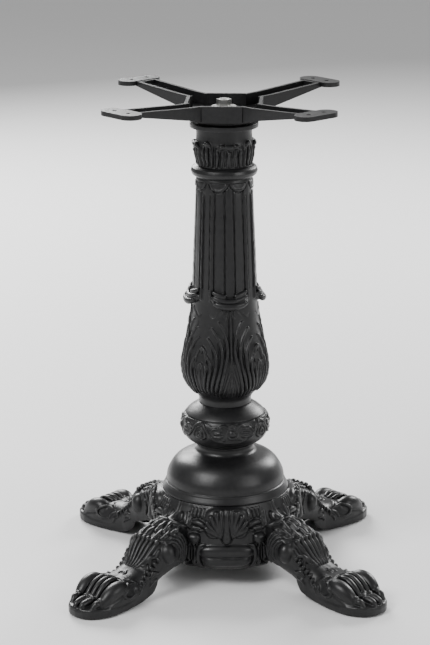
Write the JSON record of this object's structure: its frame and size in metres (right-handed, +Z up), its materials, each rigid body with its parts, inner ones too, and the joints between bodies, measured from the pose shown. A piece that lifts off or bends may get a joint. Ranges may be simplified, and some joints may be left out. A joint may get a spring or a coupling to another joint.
{
  "type": "pedestal table base",
  "caption": "Ornate cast-iron pedestal table base with paw feet, a turned and fluted column and a cross-shaped top spider, clamped by a tie rod.",
  "frame": {"origin": "on the floor, under the column's axis, at the middle of the four feet", "axes": "+Z up along the column; the spider's arms lie on the diagonals of X and Y"},
  "size_m": [0.4918, 0.4918, 0.72],
  "materials": {
    "cast_iron": "black painted sand-cast iron, satin",
    "zinc": "bright zinc plate",
    "nylon": "moulded black nylon"
  },
  "bodies": {
    "base": {"base_casting": "cast_iron", "tie_rod": "zinc", "bottom_washer": "zinc", "bottom_nut": "zinc"},
    "column": {"bell_casting": "cast_iron", "knop_casting": "cast_iron", "shaft_casting": "cast_iron", "capital_casting": "cast_iron"},
    "spider": {"top_spider": "cast_iron"},
    "top_washer": {"top_washer": "zinc"},
    "top_nut": {"top_nut": "zinc"},
    "glide_1_pad": {"glide_1_pad": "nylon"},
    "glide_1_stem": {"glide_1_stem": "zinc"},
    "glide_2_pad": {"glide_2_pad": "nylon"},
    "glide_2_stem": {"glide_2_stem": "zinc"},
    "glide_3_pad": {"glide_3_pad": "nylon"},
    "glide_3_stem": {"glide_3_stem": "zinc"},
    "glide_4_pad": {"glide_4_pad": "nylon"},
    "glide_4_stem": {"glide_4_stem": "zinc"}
  },
  "joints": [
    {"name": "column_swivel", "type": "hinge", "parent": "base", "child": "column", "pos_m": [0, 0, 0.1225], "axis": [0, 0, 1], "continuous": true},
    {"name": "spider_swivel", "type": "hinge", "parent": "column", "child": "spider", "pos_m": [0, 0, 0.689], "axis": [0, 0, 1], "continuous": true},
    {"name": "washer_lift", "type": "slide", "parent": "spider", "child": "top_washer", "axis": [0, 0, 1], "range_m": [0, 0.00525]},
    {"name": "nut_turn", "type": "hinge", "parent": "top_washer", "child": "top_nut", "pos_m": [0, 0, 0.709], "axis": [0, 0, 1], "range_deg": [0, 1080]},
    {"name": "glide_1_travel", "type": "slide", "parent": "base", "child": "glide_1_pad", "axis": [0, 0, -1], "range_m": [0, 0.009]},
    {"name": "glide_1_turn", "type": "hinge", "parent": "glide_1_pad", "child": "glide_1_stem", "pos_m": [0.18034, 0.20893, 0.004], "axis": [0, 0, -1], "range_deg": [0, 2160]},
    {"name": "glide_2_travel", "type": "slide", "parent": "base", "child": "glide_2_pad", "axis": [0, 0, -1], "range_m": [0, 0.009]},
    {"name": "glide_2_turn", "type": "hinge", "parent": "glide_2_pad", "child": "glide_2_stem", "pos_m": [-0.20893, 0.18034, 0.004], "axis": [0, 0, -1], "range_deg": [0, 2160]},
    {"name": "glide_3_travel", "type": "slide", "parent": "base", "child": "glide_3_pad", "axis": [0, 0, -1], "range_m": [0, 0.009]},
    {"name": "glide_3_turn", "type": "hinge", "parent": "glide_3_pad", "child": "glide_3_stem", "pos_m": [-0.18034, -0.20893, 0.004], "axis": [0, 0, -1], "range_deg": [0, 2160]},
    {"name": "glide_4_travel", "type": "slide", "parent": "base", "child": "glide_4_pad", "axis": [0, 0, -1], "range_m": [0, 0.009]},
    {"name": "glide_4_turn", "type": "hinge", "parent": "glide_4_pad", "child": "glide_4_stem", "pos_m": [0.20893, -0.18034, 0.004], "axis": [0, 0, -1], "range_deg": [0, 2160]}
  ],
  "couplings": [
    {"joint": "nut_turn", "follows": "washer_lift", "rad_per_m": 3590.4},
    {"joint": "glide_1_turn", "follows": "glide_1_travel", "rad_per_m": 4188.8},
    {"joint": "glide_2_turn", "follows": "glide_2_travel", "rad_per_m": 4188.8},
    {"joint": "glide_3_turn", "follows": "glide_3_travel", "rad_per_m": 4188.8},
    {"joint": "glide_4_turn", "follows": "glide_4_travel", "rad_per_m": 4188.8}
  ]
}
